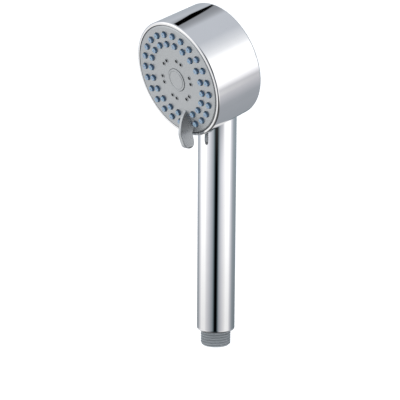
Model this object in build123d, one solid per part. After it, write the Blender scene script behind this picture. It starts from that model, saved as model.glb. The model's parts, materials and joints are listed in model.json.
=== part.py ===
from build123d import *
import os
from math import copysign, cos, radians, sin

# Handheld shower head with a drum-shaped spray head, a turning spray dial and a straight round handle.
# Millimetres. The origin is the centre of the inlet's washer face, +Z runs up the handle and the spray leaves
# towards -Y and downwards. Head parts are drawn in the head's own frame: its Z axis is the spray axis, its zero is
# where the spray axis crosses the handle axis, and its +Y points away from the handle.

# ---------- driving dimensions ----------
spray_tilt = 19.0           # how far the spray axis dips below level, degrees
head_height = 198.4         # height where the spray axis crosses the handle axis
drum_radius_front = 40.2
drum_radius_rear = 39.85    # the moulded drum has a little draft
drum_back = -1.9            # rear face of the drum along the spray axis
drum_front = 36.95          # crest of the lip
drum_wall = 2.0
drum_back_edge = 1.5
lip_edge_outer = 1.2
cavity_floor_round = 1.0
cavity_radius = 38.05

handle_radius = 13.15
handle_bore = 11.5
handle_foot = 10.75         # lower edge of the chrome handle
handle_foot_round = 1.8
handle_lip_bore = 10.95
handle_lip_height = 1.85
handle_reach = -37.7        # top of the handle blank below the spray axis crossing
spigot_radius = 11.4
spigot_bore = 9.0
spigot_foot = 137.5
spigot_reach = 31.5         # its blank ends this far below the spray axis crossing, inside the drum's wall

thread_radius = 10.48       # G1/2 major diameter 20.955
thread_end = 10.2           # the thread runs out into a short relief under the handle
thread_relief = 10.0
thread_chamfer = 1.3
nipple_shoulder = 11.4
nipple_top = 42.0
inlet_bore = 7.6
inlet_depth = 25.5
inlet_web = 2.0
inlet_throat = 4.8
flute_width = 3.0           # six flutes up the inlet's body keep its wall even
flute_depth = 0.6
flutes = 6

cartridge_radius = 7.5      # the strainer, regulator and valve stack in the inlet's bore
strainer_low = 0.8
strainer_high = 2.8
strainer_skin = 0.8
strainer_hole = 0.85
strainer_rings = ((2.5, 6), (4.7, 12))
regulator_low = 3.0
regulator_high = 7.0
regulator_floor = 1.0
regulator_hole = 0.95
regulator_holes = 8
channel_radius = 4.7        # the rubber ring lies in the middle of the regulator's channel
regulator_ring_height = 5.4
housing_low = 7.4
housing_high = 21.0
housing_bore = 5.9
housing_throat = 4.2
valve_ring_height = 11.4
valve_ring_depth = 0.65
valve_ring_width = 1.6
guide_low = 18.4
guide_bore = 1.35
guide_hub = 2.4
guide_rim = (5.0, 5.85)
stem_radius = 1.28
spring_radius = 1.9
spring_wire = 0.2
spring_foot = 12.6

tube_radius = 6.4
tube_bore = 4.8
tube_fit = 6.5              # sockets that the tube plugs into
tube_foot = 28.5
tube_collar_radius = 11.2
tube_collar_width = 1.6
tube_ring_radius = 6.05
tube_ring_cord = 0.45       # radius of the ring's round section
tube_ring_inset = 4.0       # the ring grooves' distance from each end of the tube
tube_groove = (0.8, 1.5)    # depth and width
tube_collars = (70.0, 110.0)

socket_top = 27.5           # distances down the handle axis from the spray axis crossing
socket_foot = 36.0
socket_radius = 8.6
tube_head = 29.0
upper_ring_height = head_height - tube_head - tube_ring_inset

flange_rear = 17.0
flange_front = 19.5
flange_radius = 37.2
hub_radius = 9.0
hub_rear = 11.0
rib_length = 28.0
rib_width = 1.4
ribs = 6
post_radius = 4.5
post_end = 27.7
post_bore = 2.0
post_groove = (24.0, 25.4)
post_ring_radius = 4.06
post_ring_cord = 0.46
port_radius = 20.2          # the single water port sits this far from the spray axis, on the handle side
port_bore = 4.3
port_tower = 7.6
port_face = 21.2
riser_bore = 4.1            # from the tube socket up to the duct
duct_height = 10.8
duct_bore = 3.9
duct_radius = 6.3
cup_depth = 4.0             # the port seal and its spring sit in a counterbore of the port
cup_margin = 1.7
seal_drop = 2.4
port_spring_radius = 5.1
port_spring_wire = 0.3

screw_circle = 32.5
screw_angles = (45, 135, 225, 315)
boss_radius = 3.2
boss_pilot = 1.25
boss_pilot_depth = 11.0
web_thickness = 1.4
screw_head = (2.8, 1.9)     # radius and height
screw_shank = (1.2, 9.0)
screw_recess = (3.4, 0.7)   # length and width of the cross
screw_clearance = 1.7

dial_rear = 22.0
dial_plate = 2.0
chamber_top = 33.7
mat_top = 35.1
dial_face = 37.3
dial_radius = 37.5
shell_radius = 36.4         # outer wall of the distributor
outer_wall = 1.5
middle_wall = (19.4, 20.9)
dial_hub = 7.6
dial_hub_recess = 6.0
dial_bore = 4.55
dial_skirt = 28.0
dial_edge_round = 1.1
dial_travel = 45.0          # the lever swings this far each way
lug_track = (23.2, 27.8)    # slot in the flange that stops the dial's lug
lug_margin = 6.4
lug_width = (84, 96)
detent_radius = 30.0
detent_notch = 1.25
detent_width = 4.8
port_slots = ((15.6, 19.0, 1, 9), (21.4, 24.8, -1, 8))    # inner, outer, side of the travel, half width in degrees
port_pips = (17.3, 23.1)
pip_radius = 1.7

outer_ring = 31.6
outer_places = 24
inner_ring = 25.0
inner_places = 20
nozzle_base = 2.2
nozzle_tip = 1.85
nozzle_rise = 1.3
nozzle_sides = 8
jet_ring = 14.1
jet_spacing = 4.3
jet_bore = 0.95
jet_pairs = 6
cap_radius = 7.8
cap_gap = 0.25
cap_rise = 0.4
cap_edge_round = 0.3
cap_recess = 1.4
cap_skirt = (5.0, 5.9)
cap_skirt_end = 32.2
cap_slots = 3
cap_slot_width = 1.6
lever_side = -90            # the lever and the missing nozzles face the handle
lever_pegs = (27.5, 34.0)
lever_peg_radius = 1.3
lever_peg_hole = 1.35
lever_sections = (          # distance out, half width, heights of widest line, crest and underside, squareness
    (21.3, 0.45, 0.0, 0.15, -0.6, 1.5),
    (22.6, 1.55, 0.1, 0.8, -0.7, 1.4),
    (25.0, 2.95, 0.4, 2.75, -0.8, 1.35),
    (28.0, 4.2, 1.0, 5.05, -1.0, 1.35),
    (32.0, 5.2, 2.2, 7.5, -1.0, 1.45),
    (36.0, 5.7, 3.8, 8.4, 0.9, 1.7),
    (40.0, 6.1, 4.6, 8.05, 1.6, 2.1),
    (43.0, 6.0, 4.75, 7.7, 1.9, 2.3),
    (45.2, 4.7, 4.9, 7.3, 2.9, 2.35),
    (46.4, 3.1, 5.0, 6.7, 3.7, 2.3),
    (46.9, 1.2, 5.0, 5.7, 4.4, 2.2),
)

rotor_low = 24.6
rotor_high = 33.0
rotor_hub = (7.9, 9.0)
rotor_radius = 18.6
rotor_disc = (25.4, 26.0)
shutter = (32.0, 32.9)
vanes = 10
vane_width = 0.9

HEAD = Plane(
    origin=(0, 0, head_height),
    x_dir=(1, 0, 0),
    z_dir=(0, -cos(radians(spray_tilt)), -sin(radians(spray_tilt))),
)
UPRIGHT = (Align.CENTER, Align.CENTER, Align.MIN)


# ---------- shared helpers ----------
def turned(corners, rounds=()):
    """Solid of revolution about Z through (radius, height) corners; rounds lists (corner, fillet radius)."""
    with BuildPart() as piece:
        with BuildSketch(Plane.XZ) as section:
            with BuildLine():
                Polyline(*corners, close=True)
            make_face()
            for corner, radius in rounds:
                fillet(section.vertices().sort_by_distance((corner[0], corner[1], 0))[0], radius)
        revolve(axis=Axis.Z)
    return piece.part


def rod(radius, low, high):
    """Upright cylinder between two heights."""
    return Pos(0, 0, low) * Cylinder(radius, high - low, align=UPRIGHT)


def tube(inner, outer, low, high):
    return rod(outer, low, high) - rod(inner, low, high)


def at(shape, radius, angle):
    """The shape moved out along +X and turned about Z."""
    return Rot(0, 0, angle) * Pos(radius, 0, 0) * shape


def sector(inner, outer, low, high, start, end):
    """Ring segment between two angles in degrees."""
    with BuildPart() as piece:
        with BuildSketch(Plane.XZ):
            with Locations(((inner + outer) / 2, (low + high) / 2)):
                Rectangle(outer - inner, high - low)
        revolve(axis=Axis.Z, revolution_arc=end - start)
    return Rot(0, 0, start) * piece.part


def o_ring(centre_radius, cord_radius, height):
    """Seal ring; its round cord has six sides, which is all that shows at this size."""
    with BuildPart() as ring:
        with BuildSketch(Plane.XZ):
            with Locations((centre_radius, height)):
                RegularPolygon(cord_radius, 6, rotation=30, major_radius=False)
        revolve(axis=Axis.Z)
    return ring.part


def coil(radius, wire, low, high, turns):
    """Compression spring of round wire with its coil centred on Z."""
    rise = high - low - 2 * wire
    path = Pos(0, 0, low + wire) * Helix(rise / turns, rise, radius)
    section = Plane(origin=path @ 0, z_dir=path % 0) * RegularPolygon(wire, 4)
    return sweep(section, path=path)


def faceted(foot_radius, head_radius, low, high, sides):
    """Upright prism or frustum with flat sides, which stands for a round one where many repeat."""
    foot = Pos(0, 0, low) * RegularPolygon(foot_radius, sides)
    head = Pos(0, 0, high) * RegularPolygon(head_radius, sides)
    return loft([foot.face(), head.face()])


def in_head(shape):
    """Place a shape drawn in the head's frame."""
    return shape.moved(HEAD.location)


def ring_angles(places):
    """Angles of a nozzle ring with the place under the lever left out."""
    return [lever_side + 360 / places * step for step in range(1, places)]


# ---------- outer casing ----------
def drum_blank():
    corners = [
        (0, drum_back),
        (drum_radius_rear, drum_back),
        (drum_radius_front, drum_front),
        (0, drum_front),
    ]
    rounds = [(corners[1], drum_back_edge), (corners[2], lip_edge_outer)]
    return turned(corners, rounds)


def drum_cavity():
    floor = drum_back + drum_wall
    corners = [(0, floor), (cavity_radius, floor), (cavity_radius, drum_front + 1), (0, drum_front + 1)]
    return turned(corners, [(corners[1], cavity_floor_round)])


def head_shell():
    """Chrome drum, open at the front, with four screw bosses and the spigot that carries the handle."""
    cavity = drum_cavity()
    shell = drum_blank() - cavity
    floor = drum_back + drum_wall
    boss = rod(boss_radius, floor - 0.5, flange_rear)
    for angle in screw_angles:
        web = Pos(boss_radius, 0, floor - 0.5) * Box(5, web_thickness, 12, align=UPRIGHT)
        shell += at(boss + web, screw_circle, angle) & rod(cavity_radius + 0.5, drum_back, drum_front)
    for angle in screw_angles:
        shell -= at(rod(boss_pilot, flange_rear - boss_pilot_depth, flange_rear + 1), screw_circle, angle)
    spigot = rod(spigot_radius, spigot_foot, head_height - spigot_reach) - in_head(cavity)
    passage = rod(spigot_bore, spigot_foot - 1, head_height - socket_top)
    return in_head(shell) + spigot - passage


def handle_sleeve():
    """Straight chrome tube, saddle-cut to the drum, with an inward lip at its foot."""
    sleeve = rod(handle_radius, handle_foot, head_height + handle_reach)
    foot = sleeve.edges().group_by(Axis.Z)[0]
    sleeve = fillet(foot, handle_foot_round)
    sleeve -= rod(handle_bore, handle_foot + handle_lip_height, head_height)
    sleeve -= rod(handle_lip_bore, handle_foot - 1, head_height)
    return sleeve - in_head(drum_blank())


# ---------- inlet and valve cartridge ----------
def inlet_nipple():
    """Threaded inlet (its thread drawn as a plain cylinder) with the cartridge bore and the tube socket."""
    seat = handle_foot + handle_lip_height
    corners = [
        (0, 0),
        (thread_radius, 0),
        (thread_radius, thread_end),
        (thread_relief, thread_end + 0.4),
        (thread_relief, seat),
        (nipple_shoulder, seat),
        (nipple_shoulder, nipple_top),
        (0, nipple_top),
    ]
    nipple = turned(corners)
    nipple = chamfer(nipple.edges().group_by(Axis.Z)[0], thread_chamfer)
    nipple -= rod(inlet_bore, -1, inlet_depth)
    nipple -= rod(inlet_throat, 0, nipple_top)
    nipple -= rod(tube_fit, inlet_depth + inlet_web, nipple_top + 1)
    flute = Pos(0, 0, seat + 2) * Box(2 * flute_depth, flute_width, nipple_top - seat - 4, align=UPRIGHT)
    for step in range(flutes):
        nipple -= at(flute, nipple_shoulder, 360 / flutes * step)
    return nipple


def inlet_strainer():
    """Perforated dirt screen that snaps into the mouth of the inlet."""
    rim = cartridge_radius - 1.2
    screen = tube(rim, cartridge_radius, strainer_low, strainer_high)
    screen += rod(rim + 0.1, strainer_low, strainer_low + strainer_skin)
    hole = faceted(strainer_hole, strainer_hole, 0, strainer_high + 0.2, 6)
    screen -= hole
    for radius, places in strainer_rings:
        for step in range(places):
            screen -= at(hole, radius, 360 / places * step)
    return screen


def regulator_body():
    """Flow regulator: a cone in a ring channel, where the rubber ring closes on the flow."""
    rim = cartridge_radius - 1.3
    floor = regulator_low + regulator_floor
    body = tube(rim, cartridge_radius, regulator_low, regulator_high) + rod(rim + 0.1, regulator_low, floor)
    hole = faceted(regulator_hole, regulator_hole, regulator_low - 1, floor + 1, 6)
    for step in range(regulator_holes):
        body -= at(hole, channel_radius - 0.1, 360 / regulator_holes * step)
    cone_top = regulator_high - 0.4
    return body + turned([(0, floor - 0.1), (3.4, floor - 0.1), (2.4, cone_top), (0, cone_top)])


def valve_housing():
    """Backflow valve cartridge with its seat at the lower end."""
    groove = valve_ring_height - valve_ring_width / 2
    corners = [
        (housing_throat, housing_low),
        (cartridge_radius, housing_low),
        (cartridge_radius, groove),
        (cartridge_radius - valve_ring_depth, groove),
        (cartridge_radius - valve_ring_depth, groove + valve_ring_width),
        (cartridge_radius, groove + valve_ring_width),
        (cartridge_radius, housing_high),
        (housing_bore, housing_high),
        (housing_bore, housing_low + 2.6),
        (housing_throat, housing_low + 1.5),
    ]
    return turned(corners)


def valve_guide():
    """Spider that closes the cartridge, guides the poppet's stem and holds the spring."""
    guide = tube(*guide_rim, guide_low, housing_high) + tube(guide_bore, guide_hub, guide_low, housing_high)
    middle = (guide_hub + guide_rim[0]) / 2
    arm = Pos(0, 0, guide_low + 1) * Box(3.2, 1.0, 1.6, align=UPRIGHT)
    for step in range(3):
        guide += at(arm, middle, 120 * step)
    return guide


def valve_poppet():
    """Mushroom poppet whose stem slides in the guide."""
    corners = [
        (0, 8.3),
        (3.0, 8.3),
        (3.0, 9.2),
        (3.9, 9.2),
        (4.9, 10.6),
        (4.9, 11.4),
        (2.2, 12.2),
        (stem_radius, 12.8),
        (stem_radius, housing_high - 0.5),
        (0, housing_high - 0.5),
    ]
    return turned(corners)


def poppet_seal():
    """Soft ring that the poppet carries down on to the seat."""
    return turned([(3.05, 8.95), (4.15, 8.95), (3.85, 9.15), (3.05, 9.15)])


# ---------- water way up the handle ----------
def water_tube():
    """Moulded tube from the inlet to the manifold, with a ring groove at each end and two centring collars."""
    head = head_height - tube_head
    body = rod(tube_radius, tube_foot, head)
    for height in tube_collars:
        body += rod(tube_collar_radius, height, height + tube_collar_width)
    depth, width = tube_groove
    for height in (tube_foot + tube_ring_inset, head - tube_ring_inset):
        body -= tube(tube_radius - depth, tube_radius + 1, height - width / 2, height + width / 2)
    return body - rod(tube_bore, tube_foot - 1, head + 1)


def manifold():
    """Fixed water way in the head: socket, elbow, port, bearing post and the flange that carries them."""
    flange = rod(flange_radius, flange_rear, flange_front)
    hub = rod(hub_radius, hub_rear, flange_rear + 1) + rod(post_radius, flange_front - 1, post_end)
    rib = Pos(0, 0, hub_rear + 1) * Box(rib_length, rib_width, flange_rear - hub_rear - 0.5, align=UPRIGHT)
    for step in range(ribs):
        hub += at(rib, flange_radius - 2.2 - rib_length / 2, 360 / ribs * step)
    tower = Pos(0, -port_radius, 0) * rod(port_tower, duct_height - duct_radius, port_face)
    duct = Pos(0, -port_radius, duct_height) * Rot(90, 0, 0) * Cylinder(duct_radius, 8, align=UPRIGHT)
    body = in_head(flange + hub + tower + duct)
    body += rod(socket_radius, head_height - socket_foot, head_height - socket_top)
    body -= rod(tube_fit, head_height - socket_foot - 1, head_height - tube_head + 0.3)
    body -= rod(tube_fit + 0.8, head_height - socket_foot - 12, head_height - socket_foot)
    body -= rod(riser_bore, head_height - socket_foot, head_height - 26.0)
    bores = Pos(0, -port_radius, 0) * rod(port_bore, duct_height - port_bore, port_face + 1)
    bores += Pos(0, -port_radius, 0) * rod(port_bore + cup_margin, port_face - cup_depth, port_face + 1)
    bores += Pos(0, -port_radius, duct_height) * Rot(90, 0, 0) * Cylinder(duct_bore, 7.5, align=UPRIGHT)
    bores += rod(post_bore, hub_rear + 2, post_end + 1)
    bores += tube(post_radius - 0.9, post_radius + 1, *post_groove)
    for angle in screw_angles:
        bores += at(rod(screw_clearance, flange_rear - 6, flange_front + 1), screw_circle, angle)
    slot = dial_travel + lug_margin
    bores += sector(*lug_track, flange_rear - 6, flange_front + 1, 90 - slot, 90 + slot)
    for side in (-1, 1):
        socket = Pos(0, 7.4 * side, flange_front - 1.0) * Box(detent_width + 0.6, 1.6, 2, align=UPRIGHT)
        bores += at(socket, detent_radius, 180)
    return body - in_head(bores)


def manifold_screws():
    """Four pan-head screws through the flange into the shell's bosses."""
    radius, height = screw_head
    shank, length = screw_shank
    screw = rod(radius, flange_front, flange_front + height) + rod(shank, flange_rear - length, flange_front)
    cross = Box(*screw_recess, 2, align=UPRIGHT) + Rot(0, 0, 90) * Box(*screw_recess, 2, align=UPRIGHT)
    screw -= Pos(0, 0, flange_front + 1.0) * cross
    return in_head(Compound([at(screw, screw_circle, angle) for angle in screw_angles]))


def port_seal():
    """Rubber cup that the spring holds against the turning distributor."""
    foot = port_face - seal_drop
    outer = port_bore + cup_margin - 0.1
    corners = [
        (port_bore, foot),
        (outer, foot),
        (outer, port_face + 0.2),
        (outer - 0.5, dial_rear),
        (outer - 1.0, dial_rear),
        (port_bore, port_face),
    ]
    return in_head(Pos(0, -port_radius, 0) * turned(corners))


def port_spring():
    spring = coil(port_spring_radius, port_spring_wire, port_face - cup_depth, port_face - seal_drop, 1.5)
    return in_head(Pos(0, -port_radius, 0) * spring)


def detent_spring():
    """Bent steel strip whose nose clicks into the distributor's notches."""
    foot = flange_front - 1.0
    upper = [(-7.6, foot), (-7.6, 19.9), (-6.9, 20.0), (-1.7, 21.4), (-0.4, 22.6), (0.4, 22.6), (1.7, 21.4)]
    upper += [(6.9, 20.0), (7.6, 19.9), (7.6, foot)]
    lower = [(7.2, foot), (7.2, 19.6), (6.8, 19.6), (1.5, 21.0), (0.3, 22.2), (-0.3, 22.2), (-1.5, 21.0)]
    lower += [(-6.8, 19.6), (-7.2, 19.6), (-7.2, foot)]
    with BuildPart() as strip:
        with BuildSketch(Plane.YZ):
            with BuildLine():
                Polyline(*upper, *lower, close=True)
            make_face()
        extrude(amount=detent_width / 2, both=True)
    return in_head(at(strip.part, detent_radius, 180))


def spindle_screw():
    screw = turned([(0, 14.5), (1.95, 14.5), (1.95, 28.5), (3.7, 28.5), (3.7, 30.2), (3.0, 31.0), (0, 31.0)])
    screw -= Pos(0, 0, 29.6) * Box(5.0, 0.9, 3, align=UPRIGHT)
    screw -= Pos(0, 0, 29.6) * Box(0.9, 5.0, 3, align=UPRIGHT)
    return in_head(screw)


# ---------- turning dial ----------
def distributor():
    """Chamber body behind the face: ports at the back, a massage chamber inside and a rain chamber outside."""
    body = rod(shell_radius, dial_rear, dial_rear + dial_plate)
    body += tube(shell_radius - outer_wall, shell_radius, dial_rear, chamber_top)
    body += tube(middle_wall[0], middle_wall[1], dial_rear, chamber_top)
    body += rod(dial_hub, dial_rear, chamber_top)
    body -= rod(dial_bore, dial_rear - 1, chamber_top)
    body -= rod(dial_hub_recess, post_end - 0.1, chamber_top + 1)
    for radius in port_pips:
        body -= at(rod(pip_radius, dial_rear - 1, dial_rear + 3), radius, lever_side)
    floor = (dial_rear - 1, dial_rear + dial_plate + 1)
    for inner, outer, side, half in port_slots:
        middle = lever_side + side * dial_travel
        body -= sector(inner, outer, *floor, middle - half, middle + half)
    notch = Pos(0, 0, dial_rear) * Rot(0, 90, 0) * Cylinder(detent_notch, 8)
    for step in (-1, 0, 1):
        body -= at(notch, detent_radius, 180 + dial_travel * step)
    lug = sector(lug_track[0] + 0.3, lug_track[1] - 0.3, flange_rear + 0.4, dial_rear + 0.5, *lug_width)
    return in_head(body + lug)


def spray_plate():
    """Satin face of the dial, with a skirt over the distributor and a hole for every nozzle and jet."""
    corners = [
        (dial_hub_recess, mat_top),
        (middle_wall[0], mat_top),
        (middle_wall[0], chamber_top),
        (middle_wall[1], chamber_top),
        (middle_wall[1], mat_top),
        (shell_radius + 0.1, mat_top),
        (shell_radius + 0.1, dial_skirt),
        (dial_radius, dial_skirt),
        (dial_radius, dial_face),
        (dial_hub_recess, dial_face),
    ]
    plate = turned(corners, [(corners[8], dial_edge_round)])
    plate += tube(dial_hub_recess, dial_hub, chamber_top, mat_top)
    plate -= rod(cap_radius + cap_gap, dial_face - cap_recess, dial_face + 1)
    hole = faceted(nozzle_base + 0.05, nozzle_base + 0.05, mat_top - 1, dial_face + 1, nozzle_sides)
    for radius, places in ((outer_ring, outer_places), (inner_ring, inner_places)):
        for angle in ring_angles(places):
            plate -= at(hole, radius, angle)
    jet = faceted(jet_bore, jet_bore, mat_top - 1, dial_face + 1, nozzle_sides)
    for step in range(jet_pairs):
        for side in (-1, 1):
            pair = Pos(0, side * jet_spacing / 2, 0) * jet
            plate -= at(pair, jet_ring, lever_side + 30 + 60 * step)
    for radius in lever_pegs:
        plate -= at(rod(lever_peg_hole, mat_top - 1, dial_face + 1), radius, lever_side)
    return in_head(plate)


def nozzle_mat():
    """One silicone moulding: a thin sheet with a soft nub through every hole of the face."""
    mat = tube(middle_wall[1] + 0.1, shell_radius - 0.1, chamber_top, mat_top)
    tip = dial_face + nozzle_rise
    foot = mat_top - 0.2
    nub = faceted(nozzle_base, nozzle_tip, foot, tip, nozzle_sides)
    for radius, places in ((outer_ring, outer_places), (inner_ring, inner_places)):
        for angle in ring_angles(places):
            mat += at(nub, radius, angle)
    return in_head(mat)


def centre_cap():
    """Round cap that hides the spindle screw; its slotted skirt snaps into the face."""
    top = dial_face + cap_rise
    foot = dial_face - cap_recess + 0.02
    corners = [(0, foot), (cap_radius, foot), (cap_radius, top), (0, top)]
    cap = turned(corners, [(corners[2], cap_edge_round)])
    skirt = tube(*cap_skirt, cap_skirt_end, foot + 0.1)
    slot = Pos(0, 0, cap_skirt_end - 1.2) * Box(14, cap_slot_width, 4.2, align=UPRIGHT)
    for step in range(cap_slots):
        skirt -= Rot(0, 0, 180 / cap_slots * step) * slot
    return in_head(cap + skirt)


def lever_section(distance, half_width, waist, crest, underside, squareness):
    """Closed rounded outline across the lever; a squareness of 2 is an ellipse, less is a ridge."""
    power = 2 / squareness
    points = []
    for step in range(16):
        across, rise = cos(radians(22.5 * step)), sin(radians(22.5 * step))
        half_height = crest - waist if rise > 0 else waist - underside
        x = copysign(half_width * abs(across) ** power, across)
        height = waist + copysign(half_height * abs(rise) ** power, rise)
        points.append((x, -distance, dial_face + height))
    return make_face(Spline(*points, periodic=True))


def selector_lever():
    """Leaf-shaped thumb tab: a pointed ridge on the face that widens to a rounded tab past the rim."""
    lever = loft([lever_section(*section) for section in lever_sections])
    lever &= Pos(0, 0, dial_face) * Box(20, 100, 20, align=UPRIGHT)
    for radius in lever_pegs:
        lever += at(rod(lever_peg_radius, mat_top + 0.05, dial_face + 0.5), radius, lever_side)
    return in_head(lever)


def turbine_rotor():
    """Vaned rotor that spins in the massage chamber; its half shutter makes the jets pulse."""
    root = rotor_hub[1] - 0.2
    rotor = tube(*rotor_hub, rotor_low, rotor_high)
    rotor += sector(root, rotor_radius, *shutter, 0, 180) + tube(root, rotor_radius, *rotor_disc)
    height = shutter[0] - rotor_disc[0] - 0.1
    vane = Pos(0, 0, rotor_disc[0] + 0.2) * Box(rotor_radius - root, vane_width, height, align=UPRIGHT)
    for step in range(vanes):
        rotor += at(vane, (root + rotor_radius) / 2 - 0.2, 360 / vanes * step)
    return in_head(rotor)


# ---------- build ----------
PIECES = {
    "head_shell": head_shell,
    "handle_sleeve": handle_sleeve,
    "inlet_nipple": inlet_nipple,
    "inlet_strainer": inlet_strainer,
    "regulator_body": regulator_body,
    "regulator_ring": lambda: o_ring(channel_radius, 0.9, regulator_ring_height),
    "valve_housing": valve_housing,
    "valve_o_ring": lambda: o_ring(cartridge_radius - 0.3, 0.35, valve_ring_height),
    "valve_guide": valve_guide,
    "valve_poppet": valve_poppet,
    "poppet_seal": poppet_seal,
    "valve_spring": lambda: coil(spring_radius, spring_wire, spring_foot, guide_low, 4),
    "water_tube": water_tube,
    "lower_tube_ring": lambda: o_ring(tube_ring_radius, tube_ring_cord, tube_foot + tube_ring_inset),
    "upper_tube_ring": lambda: o_ring(tube_ring_radius, tube_ring_cord, upper_ring_height),
    "manifold": manifold,
    "manifold_screws": manifold_screws,
    "port_seal": port_seal,
    "port_spring": port_spring,
    "post_o_ring": lambda: in_head(o_ring(post_ring_radius, post_ring_cord, sum(post_groove) / 2)),
    "detent_spring": detent_spring,
    "spindle_washer": lambda: in_head(tube(post_bore + 0.05, 5.7, post_end, post_end + 0.8)),
    "spindle_screw": spindle_screw,
    "distributor": distributor,
    "spray_plate": spray_plate,
    "nozzle_mat": nozzle_mat,
    "centre_cap": centre_cap,
    "selector_lever": selector_lever,
    "turbine_rotor": turbine_rotor,
}

os.makedirs("parts", exist_ok=True)
for name, make in PIECES.items():
    solid = make()
    solid.label = name
    export_step(solid, f"parts/{name}.step")
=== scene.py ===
"""Looks for a handheld shower head.

Chrome drum and handle, satin turning face, blue nozzles, thumb lever and a grey inlet thread.
Lengths in the sections below are millimetres, as on a drawing, and one function scales each
finished mesh to metres. Head pieces are drawn in the head's own frame: its Z is the spray axis
and its +Y points away from the handle.
"""

import json
import math

import bmesh
import bpy
from mathutils import Matrix, Vector


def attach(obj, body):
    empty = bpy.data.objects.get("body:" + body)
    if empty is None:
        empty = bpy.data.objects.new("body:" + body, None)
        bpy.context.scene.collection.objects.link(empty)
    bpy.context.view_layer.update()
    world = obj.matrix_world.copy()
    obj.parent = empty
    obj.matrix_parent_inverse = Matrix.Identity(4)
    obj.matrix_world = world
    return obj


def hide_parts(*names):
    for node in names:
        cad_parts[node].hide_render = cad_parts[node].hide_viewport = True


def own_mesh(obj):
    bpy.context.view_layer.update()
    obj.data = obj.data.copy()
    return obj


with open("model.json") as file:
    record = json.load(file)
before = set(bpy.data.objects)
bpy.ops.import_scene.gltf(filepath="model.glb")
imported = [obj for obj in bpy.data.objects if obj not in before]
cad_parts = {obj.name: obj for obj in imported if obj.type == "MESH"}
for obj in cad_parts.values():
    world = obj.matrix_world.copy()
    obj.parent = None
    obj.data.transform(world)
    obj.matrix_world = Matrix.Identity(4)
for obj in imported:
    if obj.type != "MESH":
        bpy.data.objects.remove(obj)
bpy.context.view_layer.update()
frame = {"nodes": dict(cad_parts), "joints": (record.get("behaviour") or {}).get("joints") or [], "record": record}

# ---------- sizes, in millimetres ----------
MM = 0.001
DIAL = next(joint for joint in frame["joints"] if joint["name"] == "spray_selector")
SPRAY_AXIS = Vector(DIAL["axis"]).normalized()
HEAD_CENTRE = Vector(DIAL["pos_m"]) / MM

# drum
DRUM_RADIUS_FRONT = 40.2
DRUM_RADIUS_REAR = 39.85
DRUM_BACK = -1.9
DRUM_FRONT = 36.95
DRUM_WALL = 2.0
CAVITY_RADIUS = 38.05
CAVITY_FLOOR_ROUND = 1.0
BACK_EDGE_ROUND = 1.5
LIP_ROUND_OUTER = 1.2
LIP_ROUND_INNER = 0.15

# handle
HANDLE_RADIUS = 13.15
HANDLE_BORE = 11.5
HANDLE_FOOT = 10.75
HANDLE_FOOT_ROUND = 1.8
HANDLE_LIP_BORE = 10.95
HANDLE_LIP_HEIGHT = 1.85
HANDLE_LIP_ROUND = 0.25
SADDLE_SINK = 0.03

# inlet
THREAD_MAJOR = 10.48
THREAD_MINOR = 9.32
THREAD_PITCH = 1.814
THREAD_END = 10.2
THREAD_OVERRUN = 0.4
THREAD_RELIEF = 10.0
THREAD_CHAMFER = 1.3
RUNOUT_START = 0.8
RUNOUT_LENGTH = 0.9
INLET_BORE = 7.6
INLET_BODY_RADIUS = 11.4
INLET_BODY_TOP = 42.0
INLET_SEAT_ROUND = 0.3
INLET_TOP_ROUND = 0.5
INLET_OUTLET_BORE = 6.5
INLET_SHELF_BORE = 4.8
INLET_SHELF_FOOT = 25.5
INLET_SHELF_TOP = 27.5

# dirt screen and backflow valve in the inlet
STRAINER_RADIUS = 7.5
STRAINER_RIM = 1.2
STRAINER_FOOT = 0.8
STRAINER_TOP = 2.8
STRAINER_SKIN = 0.8
STRAINER_HOLE = 0.85
STRAINER_RINGS = ((0, 1), (2.5, 6), (4.7, 12))
STRAINER_ROUND = 0.15

# face plate
FACE = 37.3
FACE_RADIUS = 37.85
FACE_BACK = 35.1
FACE_EDGE_ROUND = 1.35
FACE_SKIRT_RADIUS = 37.5
FACE_SKIRT_BORE = 36.5
FACE_SKIRT_END = 28.0
CHAMBER_TOP = 33.7
CHAMBER_WALL_RADIUS = 20.9
CHAMBER_WALL_BORE = 19.4
HUB_RADIUS = 7.6
HUB_BORE = 6.0
OUTER_RING = 31.6
OUTER_PLACES = 24
INNER_RING = 25.0
INNER_PLACES = 20
NOZZLE_HOLE = 2.25
NOZZLE_HOLE_FLARE = 0.2
EDGE_BREAK = 0.15
JET_RING = 14.1
JET_SPACING = 4.3
JET_BORE = 1.1
JET_PAIRS = 6
JET_RIM_RADIUS = 1.7
JET_RIM_RISE = 0.25
JET_RIM_ROOT = 0.4
JET_RIM_ROUND = 0.2
JET_MOUTH_ROUND = 0.1
CUTTER_REACH = 1

# nozzles
MAT_BORE = 21.0
MAT_RADIUS = 36.3
NUB_RISE = 1.5
NUB_ROOT = 0.2
NUB_ROOT_RADIUS = 2.1
NUB_RADIUS = 1.95
NUB_TIP_RADIUS = 1.8
NUB_TIP_ROUND = 0.4
ORIFICE_RADIUS = 0.3
ORIFICE_DEPTH = 0.2
ORIFICE_ROUND = 0.1
# how far below each nub's tip the painted shade of its sides gives way to painted light, and over what height
LIT_TIP_START = 0.25
LIT_TIP_BLEND = 0.2

# cap
CAP_RADIUS = 7.8
CAP_GAP = 0.25
CAP_RISE = 0.4
CAP_RECESS = 1.4
CAP_SEAT_GAP = 0.05
CAP_ROUND = 0.3
CAP_GROOVE_INNER = 6.15
CAP_GROOVE_OUTER = 6.6
CAP_GROOVE_SLOPE = 0.15
CAP_GROOVE_DEPTH = 0.2

# where the thumb lever stands, in degrees round the spray axis
LEVER_SIDE = -90

# steps round a large, a small and the smallest lathed form
FINE_STEPS = 256
SMALL_STEPS = 32
JET_STEPS = 20
# points closer than this are one point: on lathed forms, and on the swept and cut thread
MERGE_DISTANCE = 1e-4
THREAD_MERGE = 1e-3


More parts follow.
